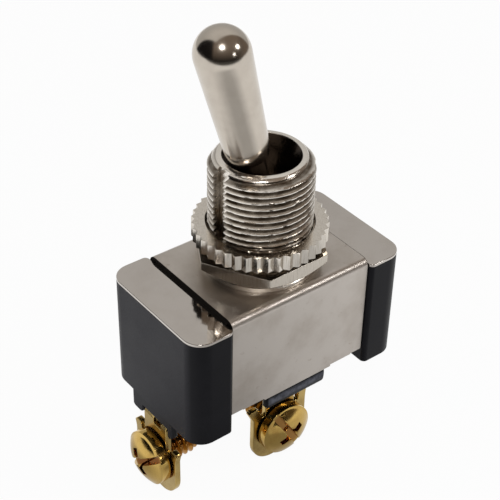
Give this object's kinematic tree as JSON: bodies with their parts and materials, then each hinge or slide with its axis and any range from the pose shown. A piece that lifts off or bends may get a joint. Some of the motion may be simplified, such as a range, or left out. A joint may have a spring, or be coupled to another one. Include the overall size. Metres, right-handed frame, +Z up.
{
  "type": "panel toggle switch",
  "caption": "Panel toggle switch with a bat lever in a threaded bushing, a ring nut and a hex nut, a metal strap over a black base, and screw terminals below.",
  "frame": {"origin": "on the bushing's axis at the top face of the strap", "axes": "+Z up the bushing towards the lever, +X along the body away from the terminal at its end, the lever swings in the XZ plane and leans to -X at rest"},
  "size_m": [0.0324, 0.0168, 0.0576],
  "materials": {
    "polished_nickel": "polished nickel plate",
    "strap_nickel": "satin nickel plate on steel",
    "nut_nickel": "bright nickel plate on brass",
    "steel": "plain steel",
    "phenolic": "moulded phenolic",
    "brass": "bright stamped brass",
    "screw_brass": "brass-plated screw",
    "copper": "copper strip",
    "silver": "silver contact",
    "fibre": "vulcanised fibre sheet",
    "nylon": "natural nylon"
  },
  "bodies": {
    "housing": {"bushing": "nut_nickel", "strap": "strap_nickel", "lid": "polished_nickel", "insulating_sheet": "fibre", "base": "phenolic", "terminal_end": "brass", "terminal_centre": "brass", "contact_saddle": "brass", "saddle_rivet": "brass", "fixed_contact": "silver", "rocker_pin": "steel"},
    "lever": {"lever": "polished_nickel", "lever_pin": "steel", "lever_spring": "steel"},
    "plunger": {"plunger": "nylon"},
    "rocker": {"rocker": "copper", "moving_contact": "silver"},
    "ring_nut": {"ring_nut": "nut_nickel"},
    "hex_nut": {"hex_nut": "nut_nickel"},
    "screw_end": {"screw_end": "screw_brass"},
    "screw_centre": {"screw_centre": "screw_brass"}
  },
  "joints": [
    {"name": "lever_tilt", "type": "hinge", "parent": "housing", "child": "lever", "pos_m": [0, 0, 0.00755], "axis": [0, 1, 0], "range_deg": [0, 30.4]},
    {"name": "plunger_slide", "type": "slide", "parent": "lever", "child": "plunger", "axis": [-0.2622, 0, 0.965], "range_m": [0, 0.0006], "stiffness_N_per_m": 20, "deforming": ["lever_spring"]},
    {"name": "rocker_tilt", "type": "hinge", "parent": "housing", "child": "rocker", "pos_m": [0, 0, -0.00751], "axis": [0, 1, 0], "range_deg": [-16, 0]},
    {"name": "ring_nut_turn", "type": "hinge", "parent": "housing", "child": "ring_nut", "pos_m": [0, 0, 0.0044], "axis": [0, 0, 1], "continuous": true},
    {"name": "hex_nut_turn", "type": "hinge", "parent": "housing", "child": "hex_nut", "pos_m": [0, 0, 0.0018], "axis": [0, 0, 1], "continuous": true},
    {"name": "end_screw_turn", "type": "hinge", "parent": "housing", "child": "screw_end", "pos_m": [-0.0148, 0, -0.0224], "axis": [-1, 0, 0], "continuous": true},
    {"name": "centre_screw_turn", "type": "hinge", "parent": "housing", "child": "screw_centre", "pos_m": [0, -0.005, -0.0224], "axis": [0, -1, 0], "continuous": true}
  ],
  "couplings": [
    {"joint": "rocker_tilt", "follows": "lever_tilt", "ratio": -0.52632}
  ]
}
